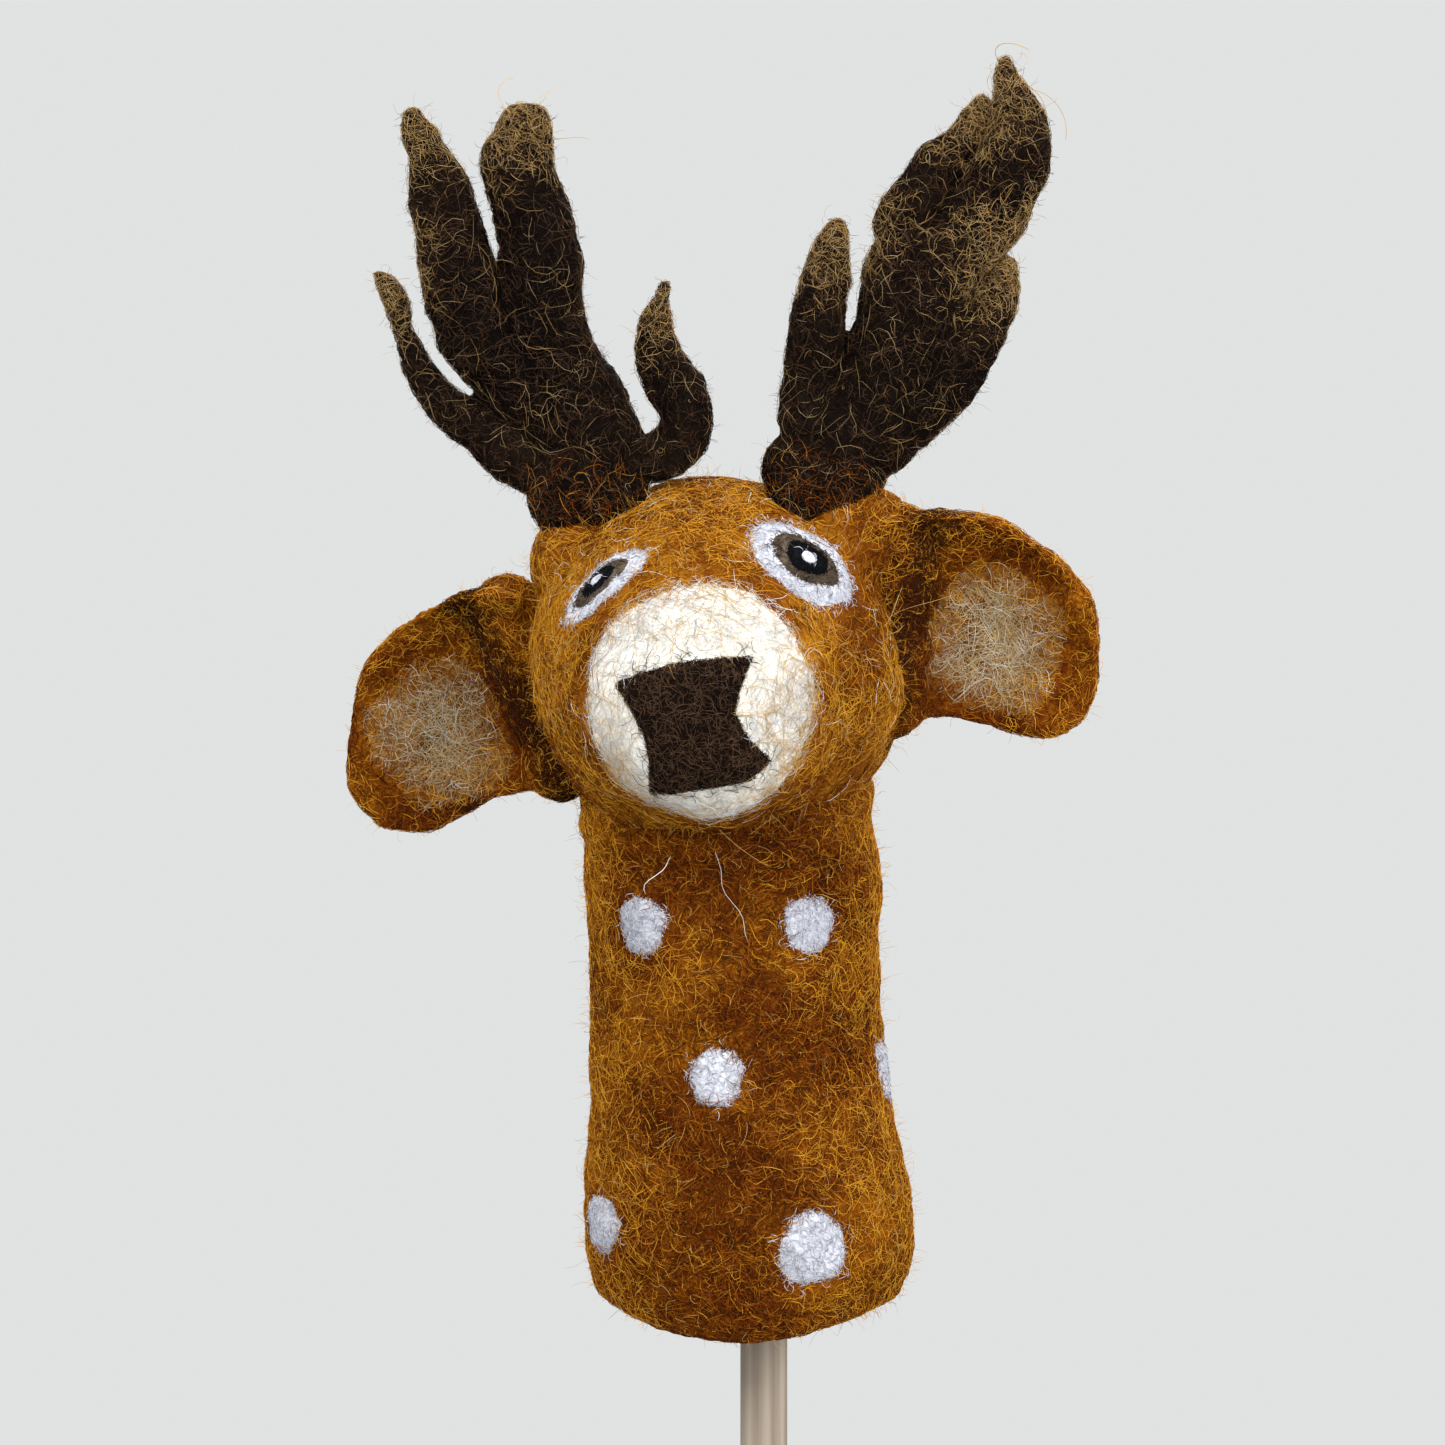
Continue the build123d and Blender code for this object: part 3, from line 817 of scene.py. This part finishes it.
def make_nose(surface):
    """The dark hourglass nose on the muzzle."""
    tilt = radians(11.5)
    right = face_right * cos(tilt) + face_up * sin(tilt)
    nose = Patch("nose_wool", surface, middle("nose"), snout, right, traced(NOSE_EDGE), 0.5,
                 felt_nose, rings=20, spokes=128, depth=0.1, seed=9)
    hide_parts("nose")
    on_head(nose.obj)
    patch_coat("nose_fibre", [nose.obj], [nose], surface, ("nose_dark", "nose"), on_head, 51, density=9,
               length=1.9, spread=0.8, edge=7)
    coat("nose_light_fibre", Surface(nose.obj), 5, {"bark": 1.0}, 2.0, 0.35, 0.6, 0.05, 54, on_head)
    return nose


EYE_LAYERS = {
    "white": ((1.0, 1.0), "wool_white", ("white", "grey"), 0.28),
    "iris": ((0.66, 0.64), "wool_iris", ("iris", "nose"), 0.2),
    "pupil": ((0.4, 0.48), "wool_black", ("black", "nose_dark"), 0.18),
    "glint": ((0.14, 0.18), "wool_white", ("white", "white"), 0.14),
}


def make_eye(surface, side):
    """One eye: white, iris, pupil and glint, each needled on to the one below."""
    centre = middle(f"eye_white_{side}")
    radial = (centre - NOD_PIVOT - snout * (centre - NOD_PIVOT).dot(snout)).normalized()
    round_face = snout.cross(radial)
    outward = (radial * 0.76 + snout * 0.65).normalized()
    half_round, half_along = {"left": (6.1, 2.9), "right": (6.7, 4.8)}[side]
    felts = {"white": felt_white, "iris": felt_iris, "pupil": felt_black, "glint": felt_white}
    layers, unders = [], [surface]
    for number, (layer, (share, slot, _, rise)) in enumerate(EYE_LAYERS.items()):
        outline = wavy(half_round * share[0], half_along * share[1], number + 1.7, 0.04)
        patch = Patch(f"eye_{layer}_wool_{side}", unders[-1], middle(f"eye_{layer}_{side}"), outward,
                      round_face, outline, rise, felts[layer], rings=10, spokes=64, seed=number)
        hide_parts(f"eye_{layer}_{side}")
        on_head(patch.obj)
        layers.append(patch)
        unders.append(Surface(patch.obj))
    seed = 61 if side == "left" else 81
    for number, (layer, (_, _, tones, _)) in enumerate(EYE_LAYERS.items()):
        clear = away_from(layers[number + 1], soft=0.4) if number < 3 else None
        patch_coat(f"eye_{layer}_fibre_{side}", [layers[number].obj], [layers[number]], unders[number],
                   tones, on_head, seed + number * 5, density=12, length=0.9, spread=0.22, clear=clear)
    return layers


def make_ear(side):
    """An ear: a thick felt cup with a root that melts into the head, and a pale lining."""
    root = ROOTS[f"ear_{side}"]
    cup = middle(f"ear_lining_{side}")
    out = (cup - root).normalized()
    axis = Vector(JOINTS[f"ear_{side}_flex"]["axis"])
    turn = Matrix((out, axis, out.cross(axis))).transposed().to_4x4()
    up = axis if axis.dot(face_up) > 0 else -axis
    fairing_places = (-1.9, 7.2, 4.6), (-0.2, 3.0, 5.2), (0.2, -3.4, 5.2), (0.9, -8.0, 4.6)
    fairing = [
        ball(root + (out * outwards + up * upwards) * MM, (3.8 * MM, half * MM, 3.3 * MM), turn)
        for outwards, upwards, half in fairing_places
    ]
    skin = felt_form(f"ear_felt_{side}", [f"ear_shell_{side}"], BODY_FELT, voxel=0.45, smooth=7,
                     sizes=((9, 0.9), (3.5, 0.35), (1.3, 0.14)), seed=13 if side == "left" else 17,
                     extra=fairing)
    place = on_root("ear", side)
    surface = Surface(skin)
    face = (snout - out * snout.dot(out)).normalized()
    lining = Patch(f"ear_lining_wool_{side}", surface, cup, face, out,
                   wavy(7.3, 8.0, 2.2, 0.07, square=0.9), 0.3, felt_lining, rings=12, spokes=64, seed=31)
    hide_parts(f"ear_lining_{side}")
    place(lining.obj)
    seed = 110 if side == "left" else 140
    pad = Surface(lining.obj)

    def heart(points):
        tufts = np.array([noise.noise(Vector(p) / (3.5 * MM)) for p in points])
        return np.clip(lining.inside(points) / 4.5, 0.02, 1) * np.clip(0.62 + 1.1 * tufts, 0.1, 1)

    # Painted shade: a band just past the ear's root, where the cup folds in against the head.
    def painted_fold_shade(points):
        past_root = (points - np.array(root)) @ np.array(out) / MM
        return np.clip(1 - np.abs(past_root - 0.8) / 2.6, 0, 1)

    # Painted shade: leans the ear's coat to rust and umber round the lining, and to gold towards the rim.
    def painted_hollow_shade(points):
        return 0.5 - 0.28 * np.clip(-lining.inside(points), 0, 5)

    coat(f"ear_lining_fibre_{side}", pad, 13, {"straw": 0.52, "pale": 0.2, "oat": 0.23, "cream": 0.05},
         3.6, 0.34, 0.5, 0.045, seed, place, heart)
    coat(f"ear_lining_rim_{side}", pad, 8, {"rust": 0.4, "ochre": 0.4, "gold": 0.2}, 2.8, 0.3, 0.5, 0.055,
         seed + 8, place, rim_of(lining, 4.5))
    # Dense umber and near-black fibres in the root crease, as painted shade.
    coat(f"ear_fold_fibre_{side}", surface, 16, {"umber": 0.7, "nose": 0.3}, 2.8, 0.45, 0.5, 0.055,
         seed + 9, place, painted_fold_shade)
    clear = away_from(lining, soft=0.8)
    # The lean paints shade in the cup round the lining.
    coat(f"ear_fibre_{side}", surface, 6.4, EAR_TONES, 2.8, 0.34, 0.5, 0.06, seed + 5, place, clear, painted_hollow_shade)
    halo(f"ear_fuzz_{side}", surface, 0.9, "gold", 1.8, 0.4, 0.036, seed + 6, place, clear)
    place(skin)


def make_antler(side):
    """An antler: its tines felted into one dark form with tan tips, on a base spread over the head."""
    root = ROOTS[f"antler_{side}"]
    nodes = sorted(n for n in frame["nodes"] if n.startswith("antler_") and n.endswith(side))
    lean = -0.6 if side == "left" else 1.4
    spread = ball(root + Vector((lean, 0, 2.6)) * MM, (6.2 * MM, 4.8 * MM, 6.4 * MM))
    skin = felt_form(f"antler_felt_{side}", nodes, felt_antler, voxel=0.4, smooth=5,
                     sizes=((5, 0.7), (2, 0.3), (0.9, 0.12)), seed=23 if side == "left" else 29,
                     extra=[spread])
    place = on_root("antler", side)
    surface = Surface(skin)
    tips = [tip_of(node, root) for node in nodes]
    seed = 210 if side == "left" else 240

    def near_tips(points):
        gap = np.min([np.linalg.norm(points - np.array(t), axis=1) for t in tips], axis=0) / MM
        return np.clip(1.3 - gap / 8.0, 0, 1) ** 1.5

    coat(f"antler_fibre_{side}", surface, 6.0, {"antler": 0.52, "antler_dark": 0.28, "antler_brown": 0.2},
         2.4, 0.34, 0.6, 0.06, seed, place)
    coat(f"antler_tip_fibre_{side}", surface, 10.0, {"tip": 0.64, "straw": 0.11, "bark": 0.25},
         2.4, 0.5, 0.6, 0.05, seed + 3, place, near_tips)
    coat(f"antler_light_fibre_{side}", surface, 0.5, {"bark": 0.6, "tip": 0.22, "straw": 0.18},
         4.2, 0.6, 0.45, 0.032, seed + 4, place)

    def near_root(points):
        gap = np.linalg.norm(points - np.array(root + Vector((lean, 0, 0)) * MM), axis=1) / MM
        return np.clip((8.0 - gap) / 4.0, 0, 1)

    coat(f"antler_root_fibre_{side}", surface, 2.2, {"ochre": 0.45, "rust": 0.4, "gold": 0.15},
         3.2, 0.4, 0.5, 0.045, seed + 8, place, near_root)
    halo(f"antler_fuzz_{side}", surface, 1.0, "antler_brown", 1.5, 0.5, 0.038, seed + 5, place)
    halo(f"antler_light_fuzz_{side}", surface, 0.12, "straw", 2.4, 0.5, 0.03, seed + 9, place)
    halo(f"antler_tip_fuzz_{side}", surface, 1.2, "tip", 2.4, 0.5, 0.038, seed + 6, place, near_tips)
    strays(f"antler_strays_{side}", surface, 6, tips[0], 4, 7, "pale", seed + 7, place)
    place(skin)


def tip_of(node, root):
    """The end of a tine: its point furthest from the antler's root."""
    points, _, _ = arrays(frame["nodes"][node].data)
    gap = np.linalg.norm(points - np.array(root), axis=1)
    return points[gap.argmax()]


make_camera()
make_studio()
make_stick()
make_sleeve()
make_head()
for ear_side in ("left", "right"):
    make_ear(ear_side)
    make_antler(ear_side)

look = bpy.context.scene.view_settings
look.view_transform = "Standard"
